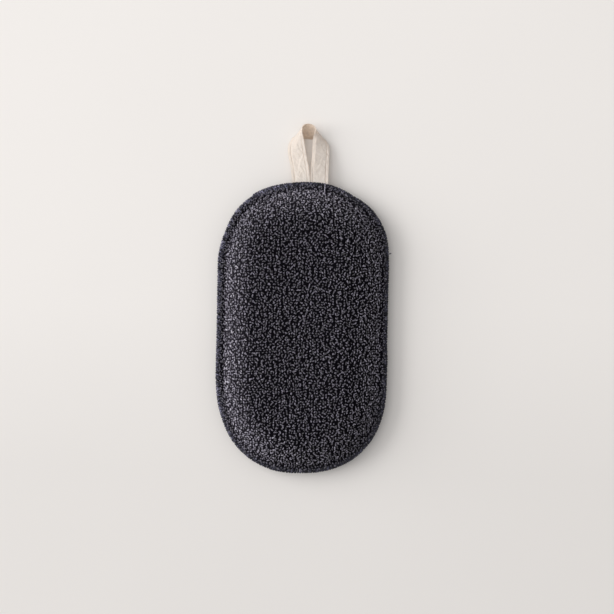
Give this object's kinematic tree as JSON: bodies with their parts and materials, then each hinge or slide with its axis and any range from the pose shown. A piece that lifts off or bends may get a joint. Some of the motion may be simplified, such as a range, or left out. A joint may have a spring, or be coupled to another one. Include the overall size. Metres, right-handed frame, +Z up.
{
  "type": "scouring sponge",
  "caption": "Flat padded scouring sponge with rounded ends: knitted scouring panels over a foam core, an overlocked rim and a tape loop to hang it by.",
  "frame": {"origin": "on the resting surface under the middle of the pad", "axes": "+X across the pad, +Y along it towards the hanging loop, +Z up out of the front panel"},
  "size_m": [0.0944, 0.1926, 0.02],
  "materials": {
    "scouring_knit": "coarse knit, grey slubs on near-black yarn",
    "foam": "open-cell foam",
    "edge_thread": "matt overlock thread",
    "cotton_tape": "woven cotton tape"
  },
  "bodies": {
    "root": {"front_panel": "scouring_knit", "back_panel": "scouring_knit", "foam_core": "foam", "overlock_edge": "edge_thread", "hanging_loop": "cotton_tape"}
  },
  "joints": []
}
